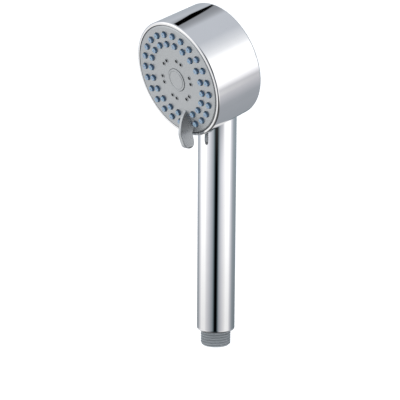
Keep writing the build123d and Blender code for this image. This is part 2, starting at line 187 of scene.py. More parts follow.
# ---------- mesh helpers ----------
def head_place():
    """Matrix from the head's own millimetres to the row frame's."""
    across = Vector((1, 0, 0))
    upward = SPRAY_AXIS.cross(across)
    turn = Matrix((across, upward, SPRAY_AXIS)).transposed().to_4x4()
    return Matrix.Translation(HEAD_CENTRE) @ turn


HEAD = head_place()
UPRIGHT = Matrix.Identity(4)


def draw_outline(bm, corners, rounds=None, closed=False, segments=8):
    """Wire outline through (radius, height) corners; rounds maps a corner's number to a fillet."""
    points = [bm.verts.new((radius, 0, height)) for radius, height in corners]
    for pair in zip(points, points[1:]):
        bm.edges.new(pair)
    if closed:
        bm.edges.new((points[-1], points[0]))
    for number, radius in (rounds or {}).items():
        corner = points[number]
        first, second = [edge.other_vert(corner).co - corner.co for edge in corner.link_edges]
        reach = radius * math.tan((math.pi - first.angle(second)) / 2)
        bmesh.ops.bevel(
            bm, geom=[corner], offset=reach, offset_type="OFFSET", affect="VERTICES",
            segments=segments, profile=0.5, material=-1,
        )


def turned(corners, rounds=None, closed=False, steps=FINE_STEPS, segments=8):
    """Lathe an outline about Z."""
    bm = bmesh.new()
    draw_outline(bm, corners, rounds, closed, segments)
    bmesh.ops.spin(
        bm, geom=bm.verts[:] + bm.edges[:], cent=(0, 0, 0), axis=(0, 0, 1), dvec=(0, 0, 0),
        angle=math.tau, steps=steps, use_merge=True,
    )
    bmesh.ops.remove_doubles(bm, verts=bm.verts, dist=MERGE_DISTANCE)
    return bm


def join(bm, other, place=UPRIGHT):
    """Add another mesh to bm at a place, and free the other."""
    carrier = bpy.data.meshes.new("carrier")
    other.transform(place)
    other.to_mesh(carrier)
    other.free()
    bm.from_mesh(carrier)
    bpy.data.meshes.remove(carrier)


def polar(radius, angle):
    """Matrix of a place at a radius and an angle in degrees about Z."""
    return Matrix.Rotation(math.radians(angle), 4, "Z") @ Matrix.Translation((radius, 0, 0))


def mark_edges(bm, sharp_angle):
    """Smooth faces with crisp edges where the surface turns by more than sharp_angle degrees."""
    for face in bm.faces:
        face.smooth = True
    for edge in bm.edges:
        if len(edge.link_faces) == 2:
            edge.smooth = edge.calc_face_angle(0) < math.radians(sharp_angle)


def make_piece(bm, name, material, body, replaced, place=UPRIGHT, sharp_angle=35):
    """Turn a millimetre mesh into a finished piece of the scene, riding on its body."""
    bmesh.ops.remove_doubles(bm, verts=bm.verts, dist=MERGE_DISTANCE)
    bmesh.ops.recalc_face_normals(bm, faces=bm.faces)
    mark_edges(bm, sharp_angle)
    bm.transform(Matrix.Scale(MM, 4) @ place)
    mesh = bpy.data.meshes.new(name)
    bm.to_mesh(mesh)
    bm.free()
    piece = bpy.data.objects.new(name, mesh)
    bpy.context.scene.collection.objects.link(piece)
    mesh.materials.append(material)
    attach(piece, body)
    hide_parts(*replaced)
    return piece


def even_normals(piece):
    """Large faces keep their own direction, so reflections run straight up to a round edge."""
    finish = piece.modifiers.new("even_normals", "WEIGHTED_NORMAL")
    finish.keep_sharp = True
    finish.weight = 100  # the largest face decides


# ---------- material helpers ----------
# a Mix node's two colour inputs and its colour output
MIX_FIRST = 6
MIX_SECOND = 7
MIX_RESULT = 2


def linear(code):
    """Linear colour from an sRGB hex code."""
    channels = [int(code[start : start + 2], 16) / 255 for start in (1, 3, 5)]
    return [c / 12.92 if c <= 0.04045 else ((c + 0.055) / 1.055) ** 2.4 for c in channels] + [1.0]


def add_node(tree, kind, inputs=None, **settings):
    """Add a node, set its properties, and fill its inputs with values or links."""
    node = tree.nodes.new(kind)
    for name, value in settings.items():
        setattr(node, name, value)
    for name, value in (inputs or {}).items():
        if isinstance(value, bpy.types.NodeSocket):
            tree.links.new(value, node.inputs[name])
        else:
            node.inputs[name].default_value = value
    return node


def new_material(name, **shader_inputs):
    """Material with one Principled shader; returns it with its tree, shader and coordinates."""
    material = bpy.data.materials.new(name)
    material.use_nodes = True
    tree = material.node_tree
    tree.nodes.clear()
    inputs = {name.replace("_", " "): value for name, value in shader_inputs.items()}
    shader = add_node(tree, "ShaderNodeBsdfPrincipled", inputs)
    add_node(tree, "ShaderNodeOutputMaterial", {"Surface": shader.outputs["BSDF"]})
    place = add_node(tree, "ShaderNodeTexCoord").outputs["Object"]
    return material, tree, shader, place


def noise(tree, place, size_mm, detail=2.0, roughness=0.5):
    """Noise whose blobs are about size_mm across."""
    return add_node(
        tree, "ShaderNodeTexNoise",
        {"Vector": place, "Scale": 1 / (size_mm * MM), "Detail": detail, "Roughness": roughness},
    ).outputs["Fac"]


def spread(tree, value, low, high):
    """Map a noise's middle range to low..high."""
    return add_node(
        tree, "ShaderNodeMapRange",
        {"Value": value, "From Min": 0.3, "From Max": 0.7, "To Min": low, "To Max": high},
    ).outputs["Result"]


def mixed(tree, factor, first, second):
    """Mix of two colours or colour sockets."""
    inputs = {"Factor": factor, MIX_FIRST: first, MIX_SECOND: second}
    return add_node(tree, "ShaderNodeMix", inputs, data_type="RGBA").outputs[MIX_RESULT]


def blend_colours(tree, factor, first, second):
    """Mix of two sRGB hex colours."""
    return mixed(tree, factor, linear(first), linear(second))


def relief(tree, shader, height, depth_mm):
    """Surface relief of a real depth."""
    bump = add_node(tree, "ShaderNodeBump", {"Height": height, "Distance": depth_mm * MM})
    tree.links.new(bump.outputs["Normal"], shader.inputs["Normal"])


# ---------- materials ----------
def bright_chrome():
    """Decorative chrome plate on moulded ABS: a mirror with faint haze and moulding ripple."""
    material, tree, shader, place = new_material("bright_chrome_plate", Metallic=1.0)
    haze = noise(tree, place, 9.0, 3.0)
    tree.links.new(blend_colours(tree, haze, "#f5f5f6", "#f0f0f1"), shader.inputs["Base Color"])
    tree.links.new(spread(tree, haze, 0.015, 0.03), shader.inputs["Roughness"])
    relief(tree, shader, noise(tree, place, 16.0, 1.0), 0.004)
    return material


def satin_chrome(name, light, dark, rough, grain_depth):
    """Satin silver finish on moulded ABS: a metallic coat over a fine spark-eroded grain.

    The grain is drawn at 0.35 mm, coarser than the real one, so that it shows.
    """
    material, tree, shader, place = new_material(name, Metallic=0.85)
    cloud = noise(tree, place, 4.0, 4.0)
    tree.links.new(blend_colours(tree, cloud, dark, light), shader.inputs["Base Color"])
    tree.links.new(spread(tree, cloud, rough - 0.03, rough + 0.03), shader.inputs["Roughness"])
    relief(tree, shader, noise(tree, place, 0.35, 2.0), grain_depth)
    return material


def blue_silicone():
    """Liquid silicone rubber, blue, with painted shade: each nub is painted deep blue down its sides as if shaded
    and pale at its tip as if lit.
    """
    material, tree, shader, place = new_material(
        "blue_silicone_rubber", IOR=1.41, Subsurface_Weight=0.12, Subsurface_Scale=0.0008
    )
    cloud = noise(tree, place, 1.2, 2.0)
    # painted light and shade: a pale blue for each lit nub tip and a deep blue standing in for the shade down each
    # nub's sides
    lit_tip_blue = blend_colours(tree, cloud, "#8ca3b8", "#97adc0")
    shaded_shank_blue = blend_colours(tree, cloud, "#4b6781", "#556f89")
    # the tip attribute is 1 at each nub's tip and 0 down its sides, and places the painted shade
    tip = add_node(tree, "ShaderNodeAttribute", attribute_name="tip").outputs["Fac"]
    tree.links.new(mixed(tree, tip, shaded_shank_blue, lit_tip_blue), shader.inputs["Base Color"])
    tree.links.new(spread(tree, cloud, 0.38, 0.5), shader.inputs["Roughness"])
    relief(tree, shader, noise(tree, place, 0.25, 1.0), 0.004)
    return material


def moulded_plastic(name, light, dark, rough, grain_mm=0.4):
    """Plain injection-moulded plastic with a faint mould grain and slight flow marks."""
    material, tree, shader, place = new_material(name, IOR=1.5)
    flow = noise(tree, place, 6.0, 3.0)
    tree.links.new(blend_colours(tree, flow, dark, light), shader.inputs["Base Color"])
    tree.links.new(spread(tree, flow, rough - 0.05, rough + 0.05), shader.inputs["Roughness"])
    relief(tree, shader, noise(tree, place, grain_mm, 2.0), 0.008)
    return material


def spring_steel():
    """Stainless spring wire and screws: bright, with light and dark patches from drawing."""
    material, tree, shader, place = new_material("stainless_steel", Metallic=1.0)
    patches = noise(tree, place, 0.5, 3.0)
    tree.links.new(blend_colours(tree, patches, "#b9babd", "#d4d5d8"), shader.inputs["Base Color"])
    tree.links.new(spread(tree, patches, 0.2, 0.35), shader.inputs["Roughness"])
    return material


CHROME = bright_chrome()
SATIN = satin_chrome("satin_silver_abs", "#bfc2c4", "#b6b9bb", 0.38, 0.006)
LEVER_SATIN = satin_chrome("satin_silver_lever", "#c0c3c5", "#b6b9bb", 0.28, 0.0025)
SILICONE = blue_silicone()
NYLON = moulded_plastic("glass_filled_nylon", "#a6abae", "#989da0", 0.45)
ACETAL = moulded_plastic("natural_acetal", "#e6e6e1", "#dcdcd6", 0.35)
RUBBER = moulded_plastic("black_epdm_rubber", "#1e1e20", "#161617", 0.6)
STEEL = spring_steel()
SLOT_MATERIALS = {
    "chrome": CHROME,
    "satin_grey": SATIN,
    "lever_grey": LEVER_SATIN,
    "blue_silicone": SILICONE,
    "thread_grey": NYLON,
    "white_pom": ACETAL,
    "black_rubber": RUBBER,
    "stainless": STEEL,
}


def finish_cad_nodes():
    """Every CAD node takes the material of its slot in the record."""
    slots = {part["node"]: part["material_slot"] for part in frame["record"]["subparts"]}
    for name, node in frame["nodes"].items():
        node.data.materials.clear()
        node.data.materials.append(SLOT_MATERIALS[slots[name]])


def valve_spring_travel():
    """Give the valve's coil spring a mesh of its own; the spring shortens towards its fixed upper end as the
    poppet lifts, but nothing here moves it.
    """
    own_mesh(frame["nodes"]["valve_spring"])


# ---------- casing ----------
def drum_shell():
    """Chrome drum with its back edge and lip rounded, closed at the back and open at the front."""
    floor = DRUM_BACK + DRUM_WALL
    corners = [
        (0, DRUM_BACK),
        (DRUM_RADIUS_REAR, DRUM_BACK),
        (DRUM_RADIUS_FRONT, DRUM_FRONT),
        (CAVITY_RADIUS, DRUM_FRONT),
        (CAVITY_RADIUS, floor),
        (0, floor),
    ]
    rounds = {1: BACK_EDGE_ROUND, 2: LIP_ROUND_OUTER, 3: LIP_ROUND_INNER, 4: CAVITY_FLOOR_ROUND}
    bm = turned(corners, rounds)
    piece = make_piece(bm, "drum_shell", CHROME, "casing", ["head_shell"], HEAD)
    even_normals(piece)


def drum_radius(depth):
    """Outer radius of the drum at a distance along the spray axis."""
    share = (depth - DRUM_BACK) / (DRUM_FRONT - DRUM_BACK)
    return DRUM_RADIUS_REAR + (DRUM_RADIUS_FRONT - DRUM_RADIUS_REAR) * share


def saddle_height(x, y):
    """Height where an upright line at x, y meets the drum's underside, sunk into it a little."""
    to_world = HEAD.to_3x3()
    upward, axis = to_world.col[1], to_world.col[2]
    depth = DRUM_FRONT / 2
    for _ in range(6):  # each round corrects the depth, because the drum tapers
        fall = math.sqrt((drum_radius(depth) - SADDLE_SINK) ** 2 - x * x)
        height = (-fall - upward.y * y) / upward.z
        depth = axis.y * y + axis.z * height
    return HEAD_CENTRE.z + height


def handle():
    """Straight chrome tube, saddle-cut to the drum and rolled in at its foot."""
    top = HEAD_CENTRE.z
    seat = HANDLE_FOOT + HANDLE_LIP_HEIGHT
    corners = [
        (HANDLE_RADIUS, top),
        (HANDLE_RADIUS, HANDLE_FOOT),
        (HANDLE_LIP_BORE, HANDLE_FOOT),
        (HANDLE_LIP_BORE, seat),
        (HANDLE_BORE, seat),
        (HANDLE_BORE, top),
    ]
    bm = turned(corners, {1: HANDLE_FOOT_ROUND, 2: HANDLE_LIP_ROUND}, closed=True)
    for vert in bm.verts:
        if vert.co.z > top / 2:
            vert.co.z = saddle_height(vert.co.x, vert.co.y)
    piece = make_piece(bm, "handle", CHROME, "casing", ["handle_sleeve"])
    even_normals(piece)


def thread_radius(height):
    """Radius of the ridged surface at a height, for a ridge that starts at height zero."""
    middle = (THREAD_MAJOR + THREAD_MINOR) / 2
    swing = (THREAD_MAJOR - THREAD_MINOR) / 2
    return middle - swing * math.cos(math.tau * height / THREAD_PITCH)


def threaded_sleeve():
    """Pipe thread swept as a helix, chamfered at its mouth and run out under the handle."""
    bm = bmesh.new()
    steps_up = 12
    steps_round = 96
    turns = 8
    low = -2 * THREAD_PITCH
    points = []
    for step in range(steps_up + 1):
        rise = THREAD_PITCH * step / steps_up
        points.append(bm.verts.new((thread_radius(rise), 0, low + rise)))
    for pair in zip(points, points[1:]):
        bm.edges.new(pair)
    bmesh.ops.spin(
        bm, geom=bm.verts[:] + bm.edges[:], cent=(0, 0, 0), axis=(0, 0, 1),
        dvec=(0, 0, THREAD_PITCH / steps_round), angle=math.tau * turns,
        steps=steps_round * turns,
    )
    bmesh.ops.remove_doubles(bm, verts=bm.verts, dist=THREAD_MERGE)
    mouth = THREAD_MAJOR - THREAD_CHAMFER
    for vert in bm.verts:
        radius = math.hypot(vert.co.x, vert.co.y)
        past_end = vert.co.z - (THREAD_END - RUNOUT_START)
        runout = min(max(past_end / RUNOUT_LENGTH, 0), 1)
        wanted = radius + (THREAD_RELIEF - radius) * runout
        wanted = min(wanted, mouth + max(vert.co.z, 0))
        vert.co.x *= wanted / radius
        vert.co.y *= wanted / radius
    top = THREAD_END + THREAD_OVERRUN
    for height, outwards in ((0, -1), (top, 1)):
        bmesh.ops.bisect_plane(
            bm, geom=bm.verts[:] + bm.edges[:] + bm.faces[:], plane_co=(0, 0, height),
            plane_no=(0, 0, outwards), clear_outer=True,
        )
    bmesh.ops.remove_doubles(bm, verts=bm.verts, dist=THREAD_MERGE)
    bore_and_ends(bm, top)
    return bm


def bore_and_ends(bm, top):
    """Give an open sleeve its plain bore and close the rings at its foot and top."""
    rims = [edge for edge in bm.edges if edge.is_boundary]
    bmesh.ops.create_circle(bm, segments=96, radius=INLET_BORE)
    mouth_edges = [edge for edge in bm.edges if edge.is_wire]
    wall = bmesh.ops.extrude_edge_only(bm, edges=mouth_edges)["geom"]
    raised = [part for part in wall if isinstance(part, bmesh.types.BMVert)]
    bmesh.ops.translate(bm, verts=raised, vec=(0, 0, top))
    bores = [edge for edge in bm.edges if edge.is_boundary and edge not in rims]
    for height in (0, top):
        loops = [
            edge for edge in rims + bores
            if all(abs(vert.co.z - height) < THREAD_MERGE for vert in edge.verts)
        ]
        bmesh.ops.triangle_fill(bm, use_beauty=True, edges=loops, normal=(0, 0, 1))


def inlet():
    """Grey threaded inlet; its upper body carries the cartridge inside the handle."""
    seat = HANDLE_FOOT + HANDLE_LIP_HEIGHT
    foot = THREAD_END + THREAD_OVERRUN / 2
    bm = threaded_sleeve()
    body = [
        (INLET_BORE, foot),
        (THREAD_RELIEF, foot),
        (THREAD_RELIEF, seat),
        (INLET_BODY_RADIUS, seat),
        (INLET_BODY_RADIUS, INLET_BODY_TOP),
        (INLET_OUTLET_BORE, INLET_BODY_TOP),
        (INLET_OUTLET_BORE, INLET_SHELF_TOP),
        (INLET_SHELF_BORE, INLET_SHELF_TOP),
        (INLET_SHELF_BORE, INLET_SHELF_FOOT),
        (INLET_BORE, INLET_SHELF_FOOT),
    ]
    rounds = {3: INLET_SEAT_ROUND, 4: INLET_TOP_ROUND}
    join(bm, turned(body, rounds, closed=True, steps=96, segments=3))
    piece = make_piece(
        bm, "threaded_inlet", NYLON, "casing", ["inlet_nipple"], sharp_angle=50
    )
    even_normals(piece)


def strainer():
    """White dirt screen in the mouth of the inlet: a cup whose floor is pierced by round holes."""
    skin = STRAINER_FOOT + STRAINER_SKIN
    corners = [
        (0, STRAINER_FOOT),
        (STRAINER_RADIUS, STRAINER_FOOT),
        (STRAINER_RADIUS, STRAINER_TOP),
        (STRAINER_RADIUS - STRAINER_RIM, STRAINER_TOP),
        (STRAINER_RADIUS - STRAINER_RIM, skin),
        (0, skin),
    ]
    bm = turned(corners, {1: STRAINER_ROUND, 2: STRAINER_ROUND}, steps=96, segments=3)
    cutters = bmesh.new()
    for radius, places in STRAINER_RINGS:
        for step in range(places):
            drill = round_drill(STRAINER_HOLE, 0, skin + 0.2)
            join(cutters, drill, polar(radius, 360 / places * step))
    bm = cut_holes(bm, cutters)
    make_piece(bm, "strainer", ACETAL, "casing", ["inlet_strainer"])


# ---------- dial ----------
def nozzle_places():
    """(radius, angle) of every nozzle: two rings with the place under the lever left out."""
    for radius, places in ((OUTER_RING, OUTER_PLACES), (INNER_RING, INNER_PLACES)):
        for step in range(1, places):
            yield radius, LEVER_SIDE + 360 / places * step


def jet_places():
    """Matrix of every jet hole: pairs side by side, the first half a step past the lever."""
    for pair in range(JET_PAIRS):
        angle = LEVER_SIDE + 360 / JET_PAIRS * (pair + 0.5)
        turn = Matrix.Rotation(math.radians(angle), 4, "Z")
        for side in (-1, 1):
            yield turn @ Matrix.Translation((JET_RING, side * JET_SPACING / 2, 0))


def round_drill(radius, low, high):
    """Plain cylinder that cuts one small round hole."""
    return turned([(0, low), (radius, low), (radius, high), (0, high)], steps=JET_STEPS)


def cut_holes(bm, cutters):
    """Subtract one mesh from another and return the result."""
    parts = []
    for name, mesh_data in (("blank", bm), ("cutters", cutters)):
        bmesh.ops.recalc_face_normals(mesh_data, faces=mesh_data.faces)
        mesh = bpy.data.meshes.new(name)
        mesh_data.to_mesh(mesh)
        mesh_data.free()
        part = bpy.data.objects.new(name, mesh)
        bpy.context.scene.collection.objects.link(part)
        parts.append(part)
    blank, tool = parts
    cut = blank.modifiers.new("cut", "BOOLEAN")
    cut.operation = "DIFFERENCE"
    cut.solver = "EXACT"
    cut.object = tool
    bpy.context.view_layer.update()
    finished = blank.evaluated_get(bpy.context.evaluated_depsgraph_get())
    result = bpy.data.meshes.new_from_object(finished)
    out = bmesh.new()
    out.from_mesh(result)
    for part in parts:
        bpy.data.meshes.remove(part.data)
    bpy.data.meshes.remove(result)
    return out


def face_plate():
    """Satin face: nozzle holes with broken edges, and a raised rim round every jet hole."""
    opening = CAP_RADIUS + CAP_GAP
    seat = FACE - CAP_RECESS
    corners = [
        (opening, FACE),
        (FACE_RADIUS, FACE),
        (FACE_RADIUS, FACE_BACK),
        (FACE_SKIRT_RADIUS, FACE_BACK),
        (FACE_SKIRT_RADIUS, FACE_SKIRT_END),
        (FACE_SKIRT_BORE, FACE_SKIRT_END),
        (FACE_SKIRT_BORE, FACE_BACK),
        (CHAMBER_WALL_RADIUS, FACE_BACK),
        (CHAMBER_WALL_RADIUS, CHAMBER_TOP),
        (CHAMBER_WALL_BORE, CHAMBER_TOP),
        (CHAMBER_WALL_BORE, FACE_BACK),
        (HUB_RADIUS, FACE_BACK),
        (HUB_RADIUS, CHAMBER_TOP),
        (HUB_BORE, CHAMBER_TOP),
        (HUB_BORE, seat),
        (opening, seat),
    ]
    bm = turned(corners, {0: EDGE_BREAK, 1: FACE_EDGE_ROUND}, closed=True, steps=192, segments=6)
    low = FACE_BACK - CUTTER_REACH
    nozzle_drill = [
        (0, low),
        (NOZZLE_HOLE, low),
        (NOZZLE_HOLE, FACE - EDGE_BREAK),
        (NOZZLE_HOLE + NOZZLE_HOLE_FLARE, FACE + EDGE_BREAK),
        (0, FACE + EDGE_BREAK),
    ]
    cutters = bmesh.new()
    for radius, angle in nozzle_places():
        join(cutters, turned(nozzle_drill, steps=SMALL_STEPS), polar(radius, angle))
    for place in jet_places():
        join(cutters, round_drill(JET_BORE, low, FACE + CUTTER_REACH), place)
    bm = cut_holes(bm, cutters)
    rim = [
        (JET_BORE, FACE - JET_RIM_ROOT),
        (JET_RIM_RADIUS, FACE - JET_RIM_ROOT),
        (JET_RIM_RADIUS, FACE + JET_RIM_RISE),
        (JET_BORE, FACE + JET_RIM_RISE),
    ]
    rounds = {2: JET_RIM_ROUND, 3: JET_MOUTH_ROUND}
    for place in jet_places():
        join(bm, turned(rim, rounds, closed=True, steps=24, segments=3), place)
    make_piece(
        bm, "face_plate", SATIN, "spray_dial", ["spray_plate"], HEAD, sharp_angle=30
    )


def nozzles():
    """Silicone moulding: a thin sheet behind the face and a soft nub through every hole."""
    sheet = [
        (MAT_BORE, CHAMBER_TOP),
        (MAT_RADIUS, CHAMBER_TOP),
        (MAT_RADIUS, FACE_BACK),
        (MAT_BORE, FACE_BACK),
    ]
    bm = turned(sheet, closed=True, steps=96)
    tip = FACE + NUB_RISE
    nub = [
        (0, FACE_BACK - NUB_ROOT),
        (NUB_ROOT_RADIUS, FACE_BACK - NUB_ROOT),
        (NUB_RADIUS, FACE),
        (NUB_TIP_RADIUS, tip),
        (ORIFICE_RADIUS, tip),
        (ORIFICE_RADIUS, tip - ORIFICE_DEPTH),
        (0, tip - ORIFICE_DEPTH),
    ]
    rounds = {3: NUB_TIP_ROUND, 4: ORIFICE_ROUND}
    for radius, angle in nozzle_places():
        join(bm, turned(nub, rounds, steps=SMALL_STEPS, segments=4), polar(radius, angle))
    # painted light and shade: the tip attribute runs from 1 at each nub's tip to 0 down its sides, which the
    # silicone paints darker as shade
    painted_light_share = bm.verts.layers.float.new("tip")
    for vert in bm.verts:
        vert[painted_light_share] = min(max((vert.co.z - tip + LIT_TIP_START) / LIT_TIP_BLEND, 0), 1)
    make_piece(
        bm, "nozzles", SILICONE, "spray_dial", ["nozzle_mat"], HEAD,
        sharp_angle=50,
    )


def cap():
    """Round cap that stands a little proud of the face, with a fine ring groove."""
    top = FACE + CAP_RISE
    groove = top - CAP_GROOVE_DEPTH
    foot = FACE - CAP_RECESS + CAP_SEAT_GAP
    corners = [
        (0, top),
        (CAP_GROOVE_INNER, top),
        (CAP_GROOVE_INNER + CAP_GROOVE_SLOPE, groove),
        (CAP_GROOVE_OUTER - CAP_GROOVE_SLOPE, groove),
        (CAP_GROOVE_OUTER, top),
        (CAP_RADIUS, top),
        (CAP_RADIUS, foot),
        (0, foot),
    ]
    bm = turned(corners, {5: CAP_ROUND}, steps=128, segments=4)
    make_piece(bm, "cap", SATIN, "spray_dial", ["centre_cap"], HEAD, sharp_angle=30)


# distance out from the spray axis, half width and height of the crest, height of the flank's
# foot, rounding of the crest; heights are above the face
LEVER_SECTIONS = (
    (21.4, 0.90, 0.25, -0.2, 0.10),
    (22.1, 1.30, 0.90, -0.2, 0.30),
    (23.7, 1.30, 2.80, -0.2, 0.60),
    (25.5, 1.25, 4.50, -0.2, 0.70),
    (28.0, 1.20, 6.25, -0.2, 0.80),
    (31.0, 1.20, 7.80, -0.2, 0.80),
    (33.0, 1.20, 8.70, 0.0, 0.70),
    (35.0, 1.30, 9.35, 1.2, 0.60),
    (36.5, 1.45, 9.50, 2.2, 0.60),
    (39.0, 1.65, 9.45, 2.5, 0.60),
    (43.0, 1.90, 9.05, 2.8, 0.60),
    (45.0, 2.35, 8.10, 3.6, 0.50),
    (46.2, 2.30, 6.90, 4.4, 0.40),
    (46.8, 1.70, 5.90, 4.7, 0.20),
    (47.0, 0.90, 5.30, 4.8, 0.05),
)
LEVER_ROWS_BETWEEN = 5
LEVER_FLANK_STEEPNESS = 2.25
LEVER_FLANK_ROUND = 0.3
LEVER_EDGE = 0.8
LEVER_UNDERSIDE_SHARE = 0.8


def blended(table, steps):
    """Rows of a table with smooth in-between rows that follow the neighbouring rows' slopes."""
    rows = [Vector(row) for row in table]
    slopes = []
    for number, row in enumerate(rows):
        before, after = rows[max(number - 1, 0)], rows[min(number + 1, len(rows) - 1)]
        slopes.append((after - before) / (after[0] - before[0]))
    out = [rows[0]]
    for number in range(len(rows) - 1):
        first, second = rows[number], rows[number + 1]
        length = second[0] - first[0]
        for step in range(1, steps + 1):
            t = step / steps
            leaving = slopes[number] * length
            arriving = slopes[number + 1] * length
            out.append(
                first * (2 * t**3 - 3 * t**2 + 1) + second * (3 * t**2 - 2 * t**3)
                + leaving * (t**3 - 2 * t**2 + t) + arriving * (t**3 - t**2)
            )
    return out


def lever():
    """Leaf-shaped thumb tab: a narrow crest on steep flanks that widens past the rim."""
    bm = bmesh.new()
    rings = []
    rows = blended(LEVER_SECTIONS, LEVER_ROWS_BETWEEN)
    for distance, crest_half, crest, foot, crest_round in rows:
        half = crest_half + (crest - foot) / LEVER_FLANK_STEEPNESS
        corners = [
            (crest_half, crest),
            (half, foot),
            (LEVER_UNDERSIDE_SHARE * half, foot - LEVER_EDGE),
        ]
        mirrored = [(-across, height) for across, height in reversed(corners)]
        rounds = {0: crest_round, 5: crest_round, 1: LEVER_FLANK_ROUND, 4: LEVER_FLANK_ROUND}
        section = bmesh.new()
        draw_outline(section, corners + mirrored, rounds, closed=True, segments=8)
        for vert in section.verts:
            vert.co = Vector((vert.co.x, -distance, FACE + vert.co.z))
        edges = len(bm.edges)
        join(bm, section)
        bm.edges.ensure_lookup_table()
        rings.append(bm.edges[edges:])
    for first, second in zip(rings, rings[1:]):
        bmesh.ops.bridge_loops(bm, edges=first + second)
    open_ends = [edge for edge in bm.edges if edge.is_boundary]
    bmesh.ops.holes_fill(bm, edges=open_ends, sides=0)
    make_piece(
        bm, "thumb_lever", LEVER_SATIN, "spray_dial", ["selector_lever"], HEAD,
        sharp_angle=60,
    )


# ---------- studio ----------
# metres
FLOOR_SIZE = 60.0
FLOOR_DEPTH = 0.6


def floor():
    """Plain pale sweep far below the part, lit from within like a light table."""
    bm = bmesh.new()
    below = Matrix.Translation((0, 0, -FLOOR_DEPTH))
    bmesh.ops.create_grid(bm, x_segments=1, y_segments=1, size=FLOOR_SIZE, matrix=below)
    mesh = bpy.data.meshes.new("floor")
    bm.to_mesh(mesh)
    bm.free()
    sheet = bpy.data.objects.new("floor", mesh)
    bpy.context.scene.collection.objects.link(sheet)
    material, tree, shader, place = new_material(
        "white_acrylic_sweep", Roughness=0.9, Emission_Color=(1, 1, 1, 1), Emission_Strength=0.6
    )
    shade = noise(tree, place, 400.0, 1.0)
    tree.links.new(blend_colours(tree, shade, "#f7f7f7", "#fafafa"), shader.inputs["Base Color"])
    mesh.materials.append(material)
    sheet.visible_glossy = False


# All directions are in degrees. The compass is 0 at the spray side and 90 to the right.
# brightness of the studio's walls against the compass
WALLS = (
    (-180, 0.33), (-150, 0.27), (-135, 0.31), (-120, 0.48), (-92, 0.41), (-82, 0.50),
    (-62, 0.92), (-50, 1.25), (-22, 1.25), (-12, 0.95), (8, 0.67), (28, 0.37), (34, 0.20),
    (38, 0.05), (42, 0.0), (52, 0.0), (57, 0.09), (62, 0.35), (68, 0.55), (79, 0.76),
    (100, 1.1), (110, 1.3), (130, 1.25), (139, 0.87), (149, 0.62), (159, 0.43), (169, 0.35),
    (180, 0.33),
)
# the same low down, where the dark gap behind the camera is wider
LOW_WALLS = (
    (-180, 0.52), (-143, 0.48), (-130, 0.50), (-105, 0.75), (-80, 1.3), (-20, 1.3),
    (5, 0.65), (25, 0.19), (38, 0.03), (60, 0.03), (68, 0.5), (78, 0.95), (100, 1.25),
    (126, 1.3), (135, 1.2), (140, 1.07), (146, 0.79), (154, 0.65), (162, 0.545), (172, 0.52),
    (180, 0.52),
)
# share of the low walls, and how far everything darkens towards the ground, by elevation
LOW_SHARE = ((-90, 1.0), (-21, 1.0), (-16, 0.0), (90, 0.0))
LOW_SHADE = (
    (-90, 0.1), (-54, 0.1), (-38, 0.66), (-15.5, 0.66), (-14, 0.73), (-11.6, 0.85),
    (-9, 0.94), (-7, 1.0), (90, 1.0),
)
# share of the grey ceiling by elevation
CEILING = ((-90, 0.0), (25, 0.0), (37, 0.55), (46, 0.77), (60, 1.0), (90, 1.0))
CEILING_GREY = 0.54
# the dark hood beside the camera: how it fades to the sides, at its foot and at its top
HOOD_COMPASS = 63.0
HOOD_SIDES = (20.0, 34.0)
HOOD_FOOT = (-9.0, -3.0)
HOOD_TOP = (28.0, 42.0)
HOOD_GREY = 0.07
# a soft grey panel to the rear, which gives the flat back of the drum a tone of its own
REAR_PANEL_COMPASS = 136.0
REAR_PANEL_ELEVATION = 13.0
REAR_PANEL_EDGE = (4.0, 11.0)
REAR_PANEL_GREY = 0.62
# the thin dark gap between two rear panels: a leaning wedge that starts low and widens upwards
GAP_COMPASS = -123.0
GAP_LEAN = 0.16
GAP_LEAN_FROM = 45
GAP_FOOT = 41.5
GAP_FOOT_FADE = (0.0, 2.0)
GAP_TOP = (62, 66)
GAP_HALF_WIDTH = 0.7
GAP_GROWTH = 0.1
GAP_EDGE = (0.8, 1.25)
# dim haze round that gap: it builds up slowly from one side and ends close on the other
HAZE_RISE = (-32, 0)
HAZE_END = (0, 6)
HAZE_HEIGHT = (36, 52)
HAZE_DEPTH = 0.5

RED_LOSS = 0.4
RED_LOSS_CURVE = 2.7
BLUE_GAIN = 0.12
BLUE_GAIN_CURVE = 0.5
ROOM_STRENGTH = 1.08
BACKDROP_STRENGTH = 1.05


def plain(grey):
    return (grey, grey, grey, 1)


def tinted(grey):
    """Studio greys are a little blue and the dark ones short of red; whites are neither."""
    depth = max(1 - grey, 0)
    red = 1 - RED_LOSS * depth**RED_LOSS_CURVE
    blue = 1 + BLUE_GAIN * depth**BLUE_GAIN_CURVE
    return (grey * red, grey, grey * blue, 1)


def ramp(tree, angle, table, low, high, colour=plain):
    """Ramp through (degrees, grey) pairs, as the angle runs from low to high degrees."""
    limits = {"Value": angle, "From Min": math.radians(low), "From Max": math.radians(high)}
    share = add_node(tree, "ShaderNodeMapRange", limits).outputs["Result"]
    node = add_node(tree, "ShaderNodeValToRGB", {"Fac": share})
    stops = node.color_ramp.elements
    while len(stops) < len(table):
        stops.new(0.5)
    for stop, (position, grey) in zip(stops, table):
        stop.position = (position - low) / (high - low)
        stop.color = colour(grey)
    return node.outputs["Color"]


def compute(tree, operation, *values):
    """One Math node on values or sockets."""
    return add_node(
        tree, "ShaderNodeMath", dict(enumerate(values)), operation=operation
    ).outputs[0]


def product(tree, first, second):
    return compute(tree, "MULTIPLY", first, second)


def away_from(tree, angle, centre):
    """Angle from a direction given in degrees, without its sign."""
    return compute(tree, "ABSOLUTE", compute(tree, "SUBTRACT", angle, math.radians(centre)))


